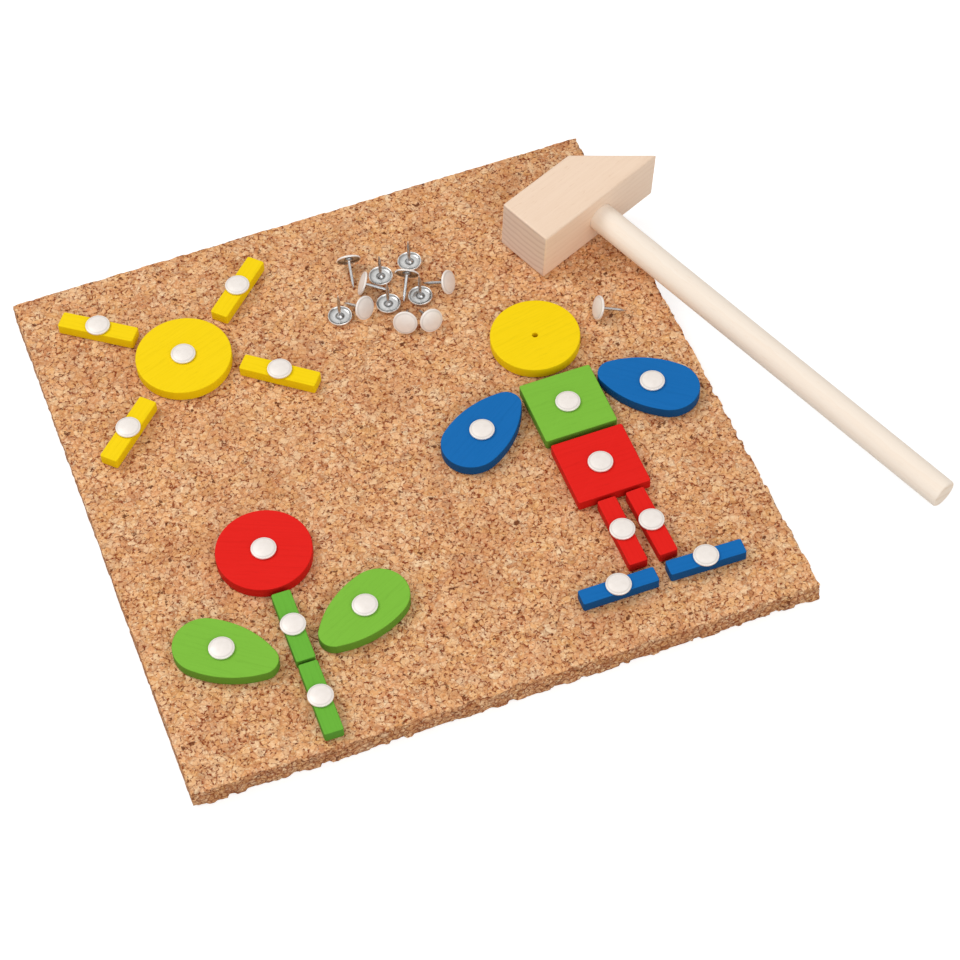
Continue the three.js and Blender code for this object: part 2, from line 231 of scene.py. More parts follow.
class Nodes:
    """A material being put together: its tree, its shader and short calls for nodes and links."""

    def __init__(self, name):
        self.material = bpy.data.materials.new(name)
        self.material.use_nodes = True
        self.tree = self.material.node_tree
        self.tree.nodes.clear()
        self.out = self.add("ShaderNodeOutputMaterial")
        self.shader = self.add("ShaderNodeBsdfPrincipled")
        self.link(self.shader.outputs["BSDF"], self.out.inputs["Surface"])
        self.place = self.add("ShaderNodeTexCoord")

    def add(self, kind, **settings):
        node = self.tree.nodes.new(kind)
        for key, value in settings.items():
            setattr(node, key, value)
        return node

    def link(self, start, end):
        self.tree.links.new(start, end)

    def feed(self, value, socket):
        """Links an output to a socket, or sets the socket to a plain value."""
        if isinstance(value, bpy.types.NodeSocket):
            self.link(value, socket)
        else:
            socket.default_value = value

    def stretched(self, scale, turn=(0, 0, 0)):
        node = self.add("ShaderNodeMapping")
        self.link(self.place.outputs["Object"], node.inputs["Vector"])
        node.inputs["Scale"].default_value = scale
        node.inputs["Rotation"].default_value = turn
        return node.outputs["Vector"]

    def noise(self, vector, scale, detail=3.0, rough=0.55, out="Fac"):
        node = self.add("ShaderNodeTexNoise")
        self.link(vector, node.inputs["Vector"])
        node.inputs["Scale"].default_value = scale
        node.inputs["Detail"].default_value = detail
        node.inputs["Roughness"].default_value = rough
        return node.outputs[out]

    def cells(self, vector, scale, feature="F1", out="Distance"):
        node = self.add("ShaderNodeTexVoronoi", feature=feature)
        self.link(vector, node.inputs["Vector"])
        node.inputs["Scale"].default_value = scale
        return node.outputs[out]

    def ramp(self, value, stops):
        node = self.add("ShaderNodeValToRGB")
        elements = node.color_ramp.elements
        while len(elements) < len(stops):
            elements.new(0.5)
        for element, (at, colour) in zip(elements, stops):
            element.position = at
            element.color = colour
        self.link(value, node.inputs["Fac"])
        return node.outputs["Color"]

    def remap(self, value, low, high, to_low, to_high):
        node = self.add("ShaderNodeMapRange")
        self.link(value, node.inputs["Value"])
        node.inputs["From Min"].default_value = low
        node.inputs["From Max"].default_value = high
        node.inputs["To Min"].default_value = to_low
        node.inputs["To Max"].default_value = to_high
        return node.outputs["Result"]

    def mix(self, amount, first, second):
        node = self.add("ShaderNodeMix", data_type="RGBA")
        self.feed(amount, node.inputs[0])
        self.feed(first, node.inputs[6])
        self.feed(second, node.inputs[7])
        return node.outputs[2]

    def math(self, operation, first, second=0.0):
        node = self.add("ShaderNodeMath", operation=operation)
        self.feed(first, node.inputs[0])
        self.feed(second, node.inputs[1])
        return node.outputs[0]

    def moved(self, vector, by, amount):
        """A vector moved about by a noise colour."""
        centred = self.add("ShaderNodeVectorMath", operation="SUBTRACT")
        self.link(by, centred.inputs[0])
        centred.inputs[1].default_value = (0.5, 0.5, 0.5)
        scaled = self.add("ShaderNodeVectorMath", operation="SCALE")
        self.link(centred.outputs[0], scaled.inputs[0])
        scaled.inputs["Scale"].default_value = amount
        total = self.add("ShaderNodeVectorMath", operation="ADD")
        self.link(vector, total.inputs[0])
        self.link(scaled.outputs[0], total.inputs[1])
        return total.outputs[0]

    def normal_part(self, axis):
        """How squarely the surface faces along one axis of the piece, 0 to 1."""
        split = self.add("ShaderNodeSeparateXYZ")
        self.link(self.place.outputs["Normal"], split.inputs[0])
        return self.math("ABSOLUTE", split.outputs[axis])

    def from_axis(self):
        """How far the surface is from the piece's Z axis."""
        split = self.add("ShaderNodeSeparateXYZ")
        self.link(self.place.outputs["Object"], split.inputs[0])
        across = self.math("MULTIPLY", split.outputs[0], split.outputs[0])
        along = self.math("MULTIPLY", split.outputs[1], split.outputs[1])
        return self.math("SQRT", self.math("ADD", across, along))

    def bump(self, height, strength, distance, under=None):
        node = self.add("ShaderNodeBump")
        node.inputs["Strength"].default_value = strength
        node.inputs["Distance"].default_value = distance
        self.link(height, node.inputs["Height"])
        if under is not None:
            self.link(under, node.inputs["Normal"])
        return node.outputs["Normal"]

    def finish(self, colour, roughness, normal):
        self.feed(colour, self.shader.inputs["Base Color"])
        self.feed(roughness, self.shader.inputs["Roughness"])
        self.link(normal, self.shader.inputs["Normal"])
        return self.material


# materials
def cork_material():
    """Granules and crumbs of cork pressed together, with painted shade in broken crevices, along
    granule borders, in dark pits and on the sides, and painted highlight specks.
    """
    n = Nodes("pressed_cork")
    raw = n.place.outputs["Object"]
    wobble = n.noise(raw, 400, 3.0, 0.6, out="Color")
    bent = n.moved(raw, wobble, 0.0022)
    tint = n.add("ShaderNodeSeparateColor")
    n.link(n.cells(bent, 1 / GRANULE, out="Color"), tint.inputs[0])
    granule = n.ramp(
        tint.outputs[0],
        [
            (0.0, linear((180, 114, 76))),
            (0.12, linear((222, 153, 110))),
            (0.3, linear((244, 176, 126))),
            (0.5, linear((240, 180, 114))),
            (0.72, linear((250, 190, 138))),
            (0.9, linear((255, 222, 180))),
            (1.0, linear((208, 168, 134))),
        ],
    )
    crumb_tint = n.add("ShaderNodeSeparateColor")
    n.link(n.cells(bent, 1 / CRUMB, out="Color"), crumb_tint.inputs[0])
    crumb = n.ramp(
        crumb_tint.outputs[1],
        [
            (0.0, linear((114, 46, 12))),
            (0.14, linear((180, 98, 44))),
            (0.3, linear((228, 163, 110))),
            (0.7, linear((243, 187, 134))),
            (1.0, linear((255, 230, 192))),
        ],
    )
    colour = n.mix(0.45, granule, crumb)
    mottle = n.noise(bent, 620, 4.0, 0.7)
    fine = n.ramp(
        mottle,
        [
            (0.3, linear((166, 80, 26))),
            (0.5, linear((234, 175, 120))),
            (0.63, linear((255, 226, 182))),
        ],
    )
    colour = n.mix(0.36, colour, fine)
    # painted highlights: small light specks on the granules
    painted_highlight_speck = n.remap(n.noise(raw, 820, 2.0), 0.56, 0.68, 0.0, 0.55)
    colour = n.mix(painted_highlight_speck, colour, linear((255, 230, 190)))
    russet = n.remap(n.noise(raw, 48, 3.0), 0.5, 0.68, 0.0, 0.35)
    colour = n.mix(russet, colour, linear((196, 128, 84)))
    honey = n.remap(n.noise(raw, 130, 2.0), 0.45, 0.7, 0.0, 0.25)
    colour = n.mix(honey, colour, linear((228, 170, 100)))
    # painted shade: the crevices between crumbs, with more of them on the torn sides, are darkened
    # for the shade that falls in them
    edge = n.cells(bent, 1 / CRUMB, "DISTANCE_TO_EDGE")
    crack = n.remap(edge, 0.02, 0.16, 1.0, 0.0)
    side = n.remap(n.normal_part(2), 0.3, 0.8, 1.0, 0.0)
    crack_break = n.remap(n.noise(raw, 760, 3.0), 0.5, 0.6, 0.0, 1.0)
    torn_break = n.remap(n.noise(raw, 900, 2.0), 0.38, 0.55, 0.0, 0.8)
    torn_crack = n.math("MULTIPLY", side, torn_break)
    crack_break = n.math("MAXIMUM", crack_break, torn_crack)
    crevice_sink_and_shade = n.math("MULTIPLY", crack, crack_break)
    colour = n.mix(crevice_sink_and_shade, colour, linear((134, 48, 4)))
    # painted shade along the borders between granules, where the creases dip
    border = n.remap(n.cells(bent, 1 / GRANULE, "DISTANCE_TO_EDGE"), 0.0, 0.08, 0.42, 0.0)
    colour = n.mix(border, colour, linear((162, 78, 30)))
    # painted shade in the dark pits
    pit = n.remap(n.noise(bent, 300, 3.0, 0.6), 0.63, 0.68, 0.0, 0.9)
    colour = n.mix(pit, colour, linear((100, 42, 10)))
    shade = n.math("MULTIPLY", side, n.remap(mottle, 0.42, 0.6, 0.4, 0.0))
    colour = n.mix(shade, colour, linear((132, 74, 40)))
    sunken = n.math("ADD", n.math("MULTIPLY", pit, 0.8), n.math("MULTIPLY", crevice_sink_and_shade, 0.6))
    sunken = n.math("ADD", sunken, n.math("MULTIPLY", border, 0.5))
    height = n.math("SUBTRACT", n.math("MULTIPLY", tint.outputs[1], 0.4), sunken)
    normal = n.bump(height, 0.55, 0.0008)
    normal = n.bump(mottle, 0.4, 0.0006, normal)
    n.shader.inputs["Specular IOR Level"].default_value = 0.15
    return n.finish(colour, n.remap(mottle, 0.3, 0.7, 0.95, 0.8), normal)


def stained_wood(name, srgb, side_shade_share):
    """Stained wood with its grain along X, painted darker on the sawn sides as shade and lighter on
    rubbed edges.
    """
    n = Nodes(name)
    base = linear(srgb)
    # the colour of the painted shade on the sawn sides
    side_shade_colour = (*(part * side_shade_share for part in base[:3]), 1.0)
    dark = (*(part * DARK_GRAIN for part in base[:3]), 1.0)
    light = (*(min(1.0, part * LIGHT_GRAIN + 0.006) for part in base[:3]), 1.0)
    streak = n.noise(n.stretched((34, 1000, 1000)), 1.0, 3.0, 0.6)
    colour = n.ramp(streak, [(0.28, dark), (0.5, base), (0.75, light)])
    colour = n.mix(0.17, base, colour)
    pore = n.remap(n.noise(n.stretched((170, 2600, 2600)), 1.0, 2.0, 0.5), 0.3, 0.4, 1.0, 0.0)
    colour = n.mix(n.math("MULTIPLY", pore, 0.22), colour, dark)
    patch = n.remap(n.noise(n.place.outputs["Object"], 70, 2.0), 0.35, 0.7, 0.0, 0.15)
    colour = n.mix(patch, colour, light)
    # painted shade: the sawn sides are darkened for the shade that falls on them
    painted_side_shade = n.remap(n.normal_part(2), 0.3, 0.8, 0.9, 0.0)
    colour = n.mix(painted_side_shade, colour, side_shade_colour)
    rubbed = n.add("ShaderNodeNewGeometry")
    wear = n.remap(rubbed.outputs["Pointiness"], 0.53, 0.6, 0.0, 0.35)
    colour = n.mix(wear, colour, light)
    normal = n.bump(streak, 0.12, 0.0003)
    normal = n.bump(pore, 0.1, 0.0002, normal)
    n.shader.inputs["Specular IOR Level"].default_value = 0.12
    return n.finish(colour, n.remap(streak, 0.3, 0.7, 0.66, 0.52), normal)


def crown_material(head_radius):
    """The satin face of a tack head, a little darker in a ring near its edge."""
    n = Nodes("satin_nickel_crown")
    raw = n.place.outputs["Object"]
    cloud = n.noise(raw, 300, 3.0)
    colour = n.ramp(cloud, [(0.3, linear((236, 227, 219))), (0.7, linear((245, 237, 230)))])
    out = n.from_axis()
    dip_start = n.remap(out, head_radius * 0.76, head_radius * 0.86, 0.0, 0.55)
    dip_end = n.remap(out, head_radius * 0.88, head_radius * 0.95, 1.0, 0.0)
    dip = n.math("MULTIPLY", dip_start, dip_end)
    colour = n.mix(dip, colour, linear((200, 193, 186)))
    brushed = n.noise(n.stretched((600, 5200, 600), (0.0, 0.0, 0.7)), 1.0, 2.0)
    n.shader.inputs["Metallic"].default_value = 0.15
    normal = n.bump(brushed, 0.05, 0.0001)
    return n.finish(colour, n.remap(cloud, 0.3, 0.7, 0.46, 0.36), normal)


def underside_material(head_radius):
    """Bare bright metal under a tack head and on its shank, with painted rings of shade and
    reflection.
    """
    n = Nodes("bright_nickel_steel")
    raw = n.place.outputs["Object"]
    cloud = n.noise(raw, 700, 3.0)
    share = n.remap(n.from_axis(), 0.0, head_radius, 0.0, 1.0)
    # painted shade and reflections: dark rings by the neck and inside the rim, bright rings between
    # them and at the edge
    rings = n.ramp(
        share,
        [
            (0.0, linear((196, 196, 197))),
            (0.2, linear((198, 198, 199))),
            (0.34, linear((126, 125, 124))),
            (0.46, linear((222, 221, 219))),
            (0.72, linear((196, 195, 193))),
            (0.86, linear((132, 131, 130))),
            (0.95, linear((232, 231, 228))),
        ],
    )
    colour = n.mix(n.remap(cloud, 0.35, 0.7, 0.0, 0.35), rings, linear((150, 149, 148)))
    n.shader.inputs["Metallic"].default_value = 1.0
    normal = n.bump(cloud, 0.08, 0.0002)
    return n.finish(colour, n.remap(cloud, 0.3, 0.7, 0.34, 0.2), normal)


def hardwood(name, pale, line, end, end_line, ring_scale, ring_shift):
    """Pale wood with its grain along X, cut out of growth rings round a far-off heart."""
    n = Nodes(name)
    raw = n.place.outputs["Object"]
    wobble = n.noise(n.stretched((14, 60, 60)), 1.0, 2.0, out="Color")
    shifted = n.add("ShaderNodeVectorMath", operation="ADD")
    n.link(n.moved(raw, wobble, 0.004), shifted.inputs[0])
    shifted.inputs[1].default_value = ring_shift
    ring = n.add("ShaderNodeTexWave", wave_type="RINGS", rings_direction="X", wave_profile="SAW")
    n.link(shifted.outputs[0], ring.inputs["Vector"])
    ring.inputs["Scale"].default_value = ring_scale
    ring.inputs["Distortion"].default_value = 1.2
    ring.inputs["Detail"].default_value = 2.0
    ring.inputs["Detail Scale"].default_value = 1.5
    ring_line = n.remap(ring.outputs["Fac"], 0.5, 1.0, 0.0, 0.22)
    colour = n.mix(ring_line, linear(pale), linear(line))
    streak = n.noise(n.stretched((30, 700, 700)), 1.0, 3.0, 0.6)
    colour = n.mix(n.remap(streak, 0.35, 0.75, 0.0, 0.2), colour, linear(line))
    fleck = n.remap(n.noise(n.stretched((240, 2400, 2400)), 1.0, 1.0), 0.66, 0.74, 0.0, 0.4)
    colour = n.mix(fleck, colour, linear(line))
    facing = n.remap(n.normal_part(0), 0.75, 0.95, 0.0, 0.75)
    end_rings = n.math("MULTIPLY", ring_line, 3.5)
    colour = n.mix(facing, colour, n.mix(end_rings, linear(end), linear(end_line)))
    normal = n.bump(streak, 0.12, 0.0003)
    normal = n.bump(fleck, 0.08, 0.0002, normal)
    n.shader.inputs["Specular IOR Level"].default_value = 0.35
    return n.finish(colour, n.remap(streak, 0.3, 0.7, 0.6, 0.45), normal)


cork = cork_material()
stains = {name: stained_wood(name, *stain) for name, stain in STAINS.items()}
head_wood = hardwood(
    "hammer_head_wood",
    pale=(246, 219, 194),
    line=(226, 190, 158),
    end=(222, 204, 192),
    end_line=(188, 164, 150),
    ring_scale=95.0,
    ring_shift=(0.0, 0.004, 0.06),
)
handle_wood = hardwood(
    "hammer_handle_wood",
    pale=(250, 236, 220),
    line=(240, 218, 194),
    end=(240, 220, 198),
    end_line=(222, 196, 168),
    ring_scale=70.0,
    ring_shift=(0.0, 0.02, 0.05),
)


# mesh helpers
def node_points(name):
    """The points of a CAD node, one row each."""
    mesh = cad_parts[name].data
    flat = np.empty(len(mesh.vertices) * 3)
    mesh.vertices.foreach_get("co", flat)
    return flat.reshape(-1, 3)


def new_piece(name, vertices, faces, material, sharp=None):
    """A smooth mesh object, with edges sharper than the given degrees left hard."""
    mesh = bpy.data.meshes.new(name)
    mesh.from_pydata([tuple(v) for v in vertices], [], faces)
    mesh.validate()
    mesh.materials.append(material)
    mesh.polygons.foreach_set("use_smooth", [True] * len(mesh.polygons))
    if sharp is not None:
        mesh.set_sharp_from_angle(angle=math.radians(sharp))
    mesh.update()
    piece = bpy.data.objects.new(name, mesh)
    bpy.context.scene.collection.objects.link(piece)
    return piece


def fit(piece, node, body):
    """Puts a piece in the place of a CAD node."""
    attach(piece, body)
    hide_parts(node)


def ring_faces(rows, columns):
    """Quads between rings of points, and from the last ring back to the first."""
    faces = []
    for row in range(rows):
        after = (row + 1) % rows
        for column in range(columns):
            beside = (column + 1) % columns
            faces.append(
                (
                    row * columns + column,
                    row * columns + beside,
                    after * columns + beside,
                    after * columns + column,
                )
            )
    return faces


def lathe(name, profile, sides, material, sharp=None):
    """A turned piece round Z from (radius, height) points, whose ends lie on the axis."""
    vertices = []
    faces = []
    rings = []
    for radius, height in profile:
        if radius < NEAR:
            rings.append([len(vertices)])
            vertices.append((0, 0, height))
            continue
        ring = []
        for side in range(sides):
            angle = 2 * math.pi * side / sides
            ring.append(len(vertices))
            vertices.append((radius * math.cos(angle), radius * math.sin(angle), height))
        rings.append(ring)
    for lower, upper in zip(rings, rings[1:]):
        for side in range(sides):
            beside = (side + 1) % sides
            if len(lower) == 1:
                faces.append((lower[0], upper[beside], upper[side]))
            elif len(upper) == 1:
                faces.append((lower[side], lower[beside], upper[0]))
            else:
                faces.append((lower[side], lower[beside], upper[beside], upper[side]))
    return new_piece(name, vertices, faces, material, sharp)


def carved(mesh, cutter, name):
    """The mesh with the cutter's volume taken out. The cutter is used up."""
    blank = bpy.data.objects.new(name, mesh)
    bpy.context.scene.collection.objects.link(blank)
    cut = blank.modifiers.new("cut", "BOOLEAN")
    cut.operation = "DIFFERENCE"
    cut.solver = "EXACT"
    cut.object = cutter
    bpy.context.view_layer.update()
    finished = blank.evaluated_get(bpy.context.evaluated_depsgraph_get())
    result = bpy.data.meshes.new_from_object(finished)
    result.name = name
    bpy.data.objects.remove(blank)
    bpy.data.objects.remove(cutter)
    return result


# stained wooden shapes
def outline_of(node, hole):
    """The CAD outline's points in turn round the hole, in plan."""
    points = node_points(node)
    top = points[:, 2].max()
    flat = points[points[:, 2] > top - NEAR][:, :2]
    flat = np.unique(np.round(flat, 6), axis=0)
    away = flat[np.hypot(*(flat - hole).T) > HOLE_REACH]
    turn = np.arctan2(away[:, 1] - hole[1], away[:, 0] - hole[0])
    return away[np.argsort(turn)]


def rounded_corners(corners):
    """A four-cornered outline with small round corners and points along its sides."""
    points = []
    count = len(corners)
    for index in range(count):
        before = corners[index - 1]
        here = corners[index]
        after = corners[(index + 1) % count]
        towards = (before - here) / np.hypot(*(before - here))
        onward = (after - here) / np.hypot(*(after - here))
        start = here + towards * CORNER_ROUNDING
        end = here + onward * CORNER_ROUNDING
        for step in range(CORNER_STEPS + 1):
            share = step / CORNER_STEPS
            bend = 2 * share * (1 - share) * here
            points.append((1 - share) ** 2 * start + bend + share**2 * end)
        far = after - onward * CORNER_ROUNDING
        for step in range(1, SIDE_STEPS):
            points.append(end + (far - end) * step / SIDE_STEPS)
    return np.array(points)


def smooth_outline(points):
    """A closed curve through the CAD outline's points, evenly filled in."""
    count = len(points)
    steps = max(1, round(OUTLINE_POINTS / count))
    made = []
    for index in range(count):
        a, b = points[index - 1], points[index]
        c, d = points[(index + 1) % count], points[(index + 2) % count]
        for step in range(steps):
            t = step / steps
            square = (2 * a - 5 * b + 4 * c - d) * t**2
            cube = (3 * b - a - 3 * c + d) * t**3
            made.append(0.5 * (2 * b + (c - a) * t + square + cube))
    return np.array(made)


def plate(name, outline, thickness, hole_radius, material):
    """A flat shape with rounded edges and a hole at its origin."""
    ahead = np.roll(outline, -1, axis=0) - np.roll(outline, 1, axis=0)
    ahead /= np.hypot(*ahead.T)[:, None]
    outward = np.stack([ahead[:, 1], -ahead[:, 0]], axis=1)
    bearing = np.arctan2(outline[:, 1], outline[:, 0])
    round_unit = np.stack([np.cos(bearing), np.sin(bearing)], axis=1)
    loops = [
        (round_unit * (hole_radius + HOLE_RIM), 0.0),
        (round_unit * hole_radius, HOLE_RIM),
        (round_unit * hole_radius, thickness - HOLE_RIM),
        (round_unit * (hole_radius + HOLE_RIM), thickness),
        (round_unit * (hole_radius * HOLE_APRON), thickness),
        (outline - outward * EDGE_ROUNDING * FACE_INSET, thickness),
    ]
    for step in range(EDGE_STEPS + 1):
        angle = math.pi / 2 * step / EDGE_STEPS
        inset = EDGE_ROUNDING * (1 - math.sin(angle))
        drop = EDGE_ROUNDING * (1 - math.cos(angle))
        loops.append((outline - outward * inset, thickness - drop))
    for step in range(EDGE_STEPS + 1):
        angle = math.pi / 2 * step / EDGE_STEPS
        inset = EDGE_ROUNDING * (1 - math.cos(angle))
        rise = EDGE_ROUNDING * (1 - math.sin(angle))
        loops.append((outline - outward * inset, rise))
    loops.append((outline - outward * EDGE_ROUNDING * FACE_INSET, 0.0))
    vertices = []
    for flat, height in loops:
        for x, y in flat:
            vertices.append((x, y, height))
    faces = ring_faces(len(loops), len(outline))
    faces = [tuple(reversed(face)) for face in faces]
    piece = new_piece(name, vertices, faces, material, SHAPE_CREASE)
    for face in piece.data.polygons:
        face.use_smooth = abs(face.normal.z) < FLAT_FACE
    return piece


def long_axis(outline):
    """The bearing of the outline's longer axis."""
    spread = np.cov((outline - outline.mean(0)).T)
    values, vectors = np.linalg.eigh(spread)
    longest = vectors[:, np.argmax(values)]
    return math.atan2(longest[1], longest[0])


for shape, slot in SHAPES.items():
    low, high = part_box(shape)
    if shape == UNPINNED:
        hole = np.array([(low.x + high.x) / 2, (low.y + high.y) / 2])
    else:
        pin_low, pin_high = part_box("tack_" + shape)
        hole = np.array([(pin_low.x + pin_high.x) / 2, (pin_low.y + pin_high.y) / 2])
    corners = outline_of(shape, hole)
    if shape in DISC_GRAIN:
        turn = math.radians(DISC_GRAIN[shape])
    elif shape in SQUARES:
        side = corners[1] - corners[0]
        turn = math.atan2(side[1], side[0])
    else:
        turn = long_axis(corners)
    spin = np.array([[math.cos(turn), math.sin(turn)], [-math.sin(turn), math.cos(turn)]])
    local = (corners - hole) @ spin.T
    outline = rounded_corners(local) if len(corners) == 4 else smooth_outline(local)
    hole_radius = np.hypot(*(node_points(shape)[:, :2] - hole).T).min()
    piece = plate(shape + "_wood", outline, high.z - low.z, hole_radius, stains[slot])
    place = Matrix.Translation((hole[0], hole[1], low.z))
    piece.matrix_world = place @ Matrix.Rotation(turn, 4, "Z")
    fit(piece, shape, shape)


# tacks
def tack_ends(node):
    """A tack's tip and the crown of its head, from its CAD points."""
    points = node_points(node)
    middle = points.mean(0)
    tip = points[np.argmax(((points - middle) ** 2).sum(1))]
    crown = points[np.argmax(((points - tip) ** 2).sum(1))]
    return Vector(tip), Vector(crown)


def tack_profile(head_radius, head_height, shank_radius, length):
    """From the tip up the shank, under the hollow head, round its rim and over its dome."""
    rim = length - head_height
    profile = [(0.0, 0.0)]
    profile += [(shank_radius * share, height) for share, height in TACK_POINT]
    profile += [(shank_radius * share, rim + height) for share, height in TACK_NECK]
    profile += [(head_radius * share, rim + height) for share, height in TACK_HOLLOW]
    profile += [(head_radius - RIM_WIDTH * share, rim + height) for share, height in RIM_ROLL]
    profile.append((head_radius, rim + CROWN_WALL))
    for step in range(1, CROWN_EDGE_STEPS + 1):
        angle = math.pi / 2 * step / CROWN_EDGE_STEPS
        radius = head_radius - CROWN_EDGE * (1 - math.cos(angle))
        profile.append((radius, rim + CROWN_WALL + CROWN_EDGE * math.sin(angle)))
    shoulder = head_radius - CROWN_EDGE
    low = CROWN_WALL + CROWN_EDGE
    for share in CROWN_DOME:
        profile.append((shoulder * share, rim + low + (head_height - low) * (1 - share**2)))
    return profile


pinned_tacks = ["tack_" + shape for shape in SHAPES if shape != UNPINNED]
loose_tacks = [name for name in sorted(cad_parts) if name.startswith("loose_tack_")]
sample_low, sample_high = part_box("tack_sun_disc")
head_radius = (sample_high.x - sample_low.x) / 2
pin_tip, pin_crown = tack_ends("tack_sun_disc")
tack_length = (pin_crown - pin_tip).length
tack_shape = tack_profile(head_radius, TACK_HEAD_HEIGHT, TACK_SHANK_RADIUS, tack_length)
crown_metal = crown_material(head_radius)
bare_metal = underside_material(head_radius)
rng = random.Random(TACK_SPIN_SEED)
for node in pinned_tacks + loose_tacks:
    tip, crown = tack_ends(node)
    along = (crown - tip).normalized()
    piece = lathe(node + "_nickel", tack_shape, TACK_SIDES, crown_metal, TACK_CREASE)
    piece.data.materials.append(bare_metal)
    for face in piece.data.polygons:
        face.material_index = 1 if face.index < UNDERSIDE_RINGS * TACK_SIDES else 0
    aimed = along.to_track_quat("Z", "Y").to_matrix().to_4x4()
    spun = Matrix.Rotation(rng.uniform(0, 2 * math.pi), 4, "Z")
    piece.matrix_world = Matrix.Translation(tip) @ aimed @ spun
    fit(piece, node, node)


# hammer
handle_points = node_points("hammer_handle")
middle = handle_points.mean(0)
values, vectors = np.linalg.eigh(np.cov((handle_points - middle).T))
along = Vector(vectors[:, np.argmax(values)])
head_middle = Vector(node_points("hammer_head").mean(0))
if (Vector(middle) - head_middle).dot(along) < 0:
    along = -along
across = Vector((0, 0, 1)).cross(along).normalized()
upward = along.cross(across)
reach = (handle_points - middle) @ np.array(along)
off_axis = (handle_points - middle) - np.outer(reach, np.array(along))
handle_radius = np.sqrt((off_axis**2).sum(1)).max()
handle_start = Vector(middle) + along * reach.min()
handle_length = reach.max() - reach.min()

profile = [(0.0, 0.0), (handle_radius, 0.0)]
for step in range(1, HANDLE_RINGS):
    profile.append((handle_radius, (handle_length - HANDLE_ROUNDING) * step / HANDLE_RINGS))
for step in range(HANDLE_END_STEPS + 1):
    angle = math.pi / 2 * step / HANDLE_END_STEPS
    profile.append(
        (
            handle_radius - HANDLE_ROUNDING * (1 - math.cos(angle)),
            handle_length - HANDLE_ROUNDING * (1 - math.sin(angle)),
        )
    )
profile.append((handle_radius * HANDLE_END_FLAT, handle_length))
profile.append((0.0, handle_length))
handle = lathe("hammer_handle_dowel", profile, HANDLE_SIDES, handle_wood, HANDLE_CREASE)
handle.data.transform(Matrix.Rotation(math.radians(90), 4, "Y"))
handle_basis = Matrix((along, across, upward)).transposed().to_4x4()
handle.matrix_world = Matrix.Translation(handle_start) @ handle_basis
fit(handle, "hammer_handle", "hammer")

head_basis = Matrix((across, along, -upward)).transposed().to_4x4()
head_place = Matrix.Translation(head_middle) @ head_basis
to_head = np.array(head_place.inverted())
head_points = node_points("hammer_head") @ to_head[:3, :3].T + to_head[:3, 3]
thick = np.abs(head_points[:, 2]).max()
on_faces = head_points[np.abs(head_points[:, 2]) > thick * HEAD_FACE_SHARE]
block = np.unique(np.round(on_faces, 6), axis=0)
block_middle = block.mean(0)
rings = []
for side in (1, -1):
    ring = block[block[:, 2] * side > 0]
    turn = np.arctan2(ring[:, 1] - block_middle[1], ring[:, 0] - block_middle[0])
    rings.append(ring[np.argsort(turn)])
work = bmesh.new()
above = [work.verts.new(point) for point in rings[0]]
below = [work.verts.new(point) for point in rings[1]]
work.faces.new(above)
work.faces.new(below[::-1])
for index in range(len(above)):
    beside = (index + 1) % len(above)
    work.faces.new((below[index], below[beside], above[beside], above[index]))
work.normal_update()
flats = [face.normal.copy() for face in work.faces]
bmesh.ops.bevel(
    work,
    geom=work.edges[:],
    offset=HEAD_ROUNDING,
    segments=HEAD_ROUNDING_STEPS,
    profile=0.5,
    affect="EDGES",
)
work.normal_update()
flat_angle = math.radians(HEAD_FLAT_DEGREES)
for face in work.faces:
    face.smooth = all(face.normal.angle(flat) > flat_angle for flat in flats)
solid_mesh = bpy.data.meshes.new("hammer_head_solid")
work.to_mesh(solid_mesh)
work.free()
solid_mesh.materials.append(head_wood)
socket_at = to_head[:3, :3] @ np.array(handle_start) + to_head[:3, 3]
socket_depth = SOCKET_CLEARANCE * 2
socket_profile = [
    (0.0, -socket_depth),
    (handle_radius + SOCKET_CLEARANCE, -socket_depth),
    (handle_radius + SOCKET_CLEARANCE, handle_length),
    (0.0, handle_length),
]
socket_cut = lathe("socket_cut", socket_profile, HANDLE_SIDES, head_wood)
socket_cut.data.transform(Matrix.Rotation(math.radians(-90), 4, "X"))
socket_cut.data.transform(Matrix.Translation(socket_at))
head_mesh = carved(solid_mesh, socket_cut, "hammer_head_block")
head = bpy.data.objects.new("hammer_head_block", head_mesh)
bpy.context.scene.collection.objects.link(head)
head.matrix_world = head_place
fit(head, "hammer_head", "hammer")


# cork board
def hashed(cells, seed):
    """Three even random numbers from 0 to 1 for each whole-number cell."""
    x, y, z = cells.astype(np.int64).T
    code = x * HASH_X ^ y * HASH_Y ^ z * HASH_Z ^ (seed * HASH_SEED)
    out = []
    for salt in HASH_SALTS:
        word = (code * salt) & HASH_WORD
        word ^= word >> 15
        word = (word * HASH_MIX) & HASH_WORD
        word ^= word >> 12
        word = (word * HASH_MIX_AGAIN) & HASH_WORD
        word ^= word >> 15
        out.append(word / HASH_WORD)
    return np.stack(out, axis=1)


def granules(points, size, seed):
    """For each point, its granule's random numbers and how far it is from the granule's border."""
    scaled = points / size
    base = np.floor(scaled)
    nearest = np.full(len(points), CELLS_AWAY)
    second = np.full(len(points), CELLS_AWAY)
    numbers = np.zeros((len(points), 3))
    for dx in (-1, 0, 1):
        for dy in (-1, 0, 1):
            for dz in (-1, 0, 1):
                cell = base + (dx, dy, dz)
                rolled = hashed(cell, seed)
                gap = np.sqrt(((cell + rolled - scaled) ** 2).sum(1))
                closer = gap < nearest
                second = np.where(closer, nearest, np.minimum(second, gap))
                numbers[closer] = hashed(cell[closer], seed + 1)
                nearest = np.where(closer, gap, nearest)
    return numbers, second - nearest


